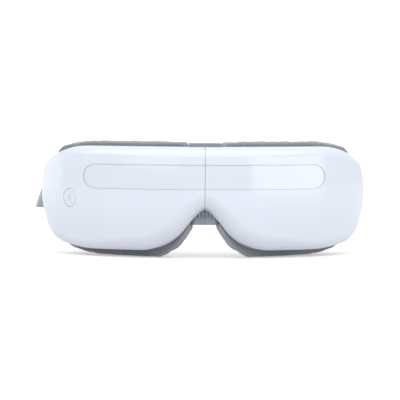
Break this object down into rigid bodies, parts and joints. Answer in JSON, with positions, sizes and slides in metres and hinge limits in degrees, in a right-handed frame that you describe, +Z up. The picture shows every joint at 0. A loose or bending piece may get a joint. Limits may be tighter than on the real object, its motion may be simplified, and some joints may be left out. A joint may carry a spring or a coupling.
{
  "type": "folding eye massager mask",
  "caption": "Folding eye massager mask with two hinged padded pods, pleated nose bridge, air massage units, power button and elastic head strap with buckle.",
  "frame": {"origin": "under the middle of the bounding box, on the plane that the pads stand on", "axes": "+X to the right seen from the front, +Y from the front shells towards the wearer and the strap, +Z up"},
  "size_m": [0.1994, 0.16, 0.069],
  "materials": {
    "shell_white": "glossy white",
    "inlay_white": "satin white",
    "button_white": "satin white",
    "housing_grey": "moulded grey",
    "pad_leather": "soft grey protein leather",
    "massage_rubber": "soft silicone",
    "heater_film": "amber film",
    "bladder_film": "translucent film",
    "hinge_steel": "brushed",
    "screw_steel": "zinc plated",
    "motor_metal": "drawn can",
    "weight_metal": "turned",
    "board_green": "solder mask",
    "cell_wrap": "shrink wrap",
    "socket_metal": "plated",
    "air_plastic": "moulded nylon",
    "speaker_black": "moulded",
    "hose_silicone": "silicone",
    "flex_film": "amber film",
    "bellows_grey": "pleated, hemmed",
    "strap_webbing": "elastic webbing",
    "buckle_plastic": "moulded"
  },
  "bodies": {
    "hinge_core": {"hinge_pin": "hinge_steel", "hinge_washers": "hinge_steel", "nose_bridge_bellows": "bellows_grey", "crossing_hose": "hose_silicone", "flex_cable": "flex_film", "head_strap_back": "strap_webbing", "left_head_strap": "strap_webbing", "right_head_strap": "strap_webbing"},
    "left_half": {"left_front_shell": "shell_white", "left_trim_panel": "inlay_white", "left_rear_housing": "housing_grey", "left_hinge_leaf": "hinge_steel", "left_face_pad": "pad_leather", "left_air_bladder": "bladder_film", "left_vibration_motor": "motor_metal", "left_housing_screws": "screw_steel", "left_hinge_screws": "screw_steel", "left_strap_bar": "hinge_steel", "switch_board": "board_green", "battery_cell": "cell_wrap", "charging_socket": "socket_metal", "charging_board": "board_green", "main_board": "board_green", "air_elbow": "air_plastic"},
    "right_half": {"right_front_shell": "shell_white", "right_trim_panel": "inlay_white", "right_rear_housing": "housing_grey", "right_hinge_leaf": "hinge_steel", "right_face_pad": "pad_leather", "right_air_bladder": "bladder_film", "right_vibration_motor": "motor_metal", "right_housing_screws": "screw_steel", "right_hinge_screws": "screw_steel", "right_strap_bar": "hinge_steel", "air_tee": "air_plastic", "driver_board": "board_green", "speaker": "speaker_black", "pump_motor": "motor_metal", "pump_head": "air_plastic", "pump_bracket": "air_plastic", "pump_hose": "hose_silicone", "air_valve": "air_plastic"},
    "left_massage": {"left_massage_cup": "massage_rubber", "left_heating_film": "heater_film"},
    "right_massage": {"right_massage_cup": "massage_rubber", "right_heating_film": "heater_film"},
    "left_weight": {"left_motor_weight": "weight_metal"},
    "right_weight": {"right_motor_weight": "weight_metal"},
    "button": {"power_button": "button_white"},
    "pump_rotor": {"pump_crank": "weight_metal"},
    "buckle": {"strap_buckle": "buckle_plastic"}
  },
  "joints": [
    {"name": "left_fold", "type": "hinge", "parent": "hinge_core", "child": "left_half", "pos_m": [0, -0.064, 0], "axis": [0, 0, -1], "range_deg": [0, 57.5], "deforming": ["nose_bridge_bellows", "crossing_hose", "flex_cable", "left_head_strap"]},
    {"name": "right_fold", "type": "hinge", "parent": "hinge_core", "child": "right_half", "pos_m": [0, -0.064, 0], "axis": [0, 0, 1], "range_deg": [0, 57.5], "deforming": ["right_head_strap"]},
    {"name": "left_press", "type": "slide", "parent": "left_half", "child": "left_massage", "axis": [0.5225, 0.8526, 0], "range_m": [0, 0.004], "stiffness_N_per_m": 150, "deforming": ["left_air_bladder"]},
    {"name": "right_press", "type": "slide", "parent": "right_half", "child": "right_massage", "axis": [-0.5225, 0.8526, 0], "range_m": [0, 0.004], "stiffness_N_per_m": 150, "deforming": ["right_air_bladder"]},
    {"name": "power_press", "type": "slide", "parent": "left_half", "child": "button", "axis": [0.7096, 0.7046, 0], "range_m": [0, 0.0006], "stiffness_N_per_m": 600},
    {"name": "left_weight_spin", "type": "hinge", "parent": "left_half", "child": "left_weight", "pos_m": [-0.03782, -0.06064, 0.014], "axis": [-0.8526, 0.5225, 0], "continuous": true},
    {"name": "right_weight_spin", "type": "hinge", "parent": "right_half", "child": "right_weight", "pos_m": [0.03782, -0.06064, 0.0596], "axis": [0.8526, 0.5225, 0], "continuous": true},
    {"name": "pump_spin", "type": "hinge", "parent": "right_half", "child": "pump_rotor", "pos_m": [0.05235, -0.05373, 0.014], "axis": [0.8526, 0.5225, 0], "continuous": true},
    {"name": "buckle_slide", "type": "slide", "parent": "hinge_core", "child": "buckle", "axis": [1, 0, 0], "range_m": [-0.02, 0.02]}
  ],
  "couplings": [
    {"joint": "right_fold", "follows": "left_fold", "ratio": 1},
    {"joint": "right_press", "follows": "left_press", "ratio": 1}
  ]
}
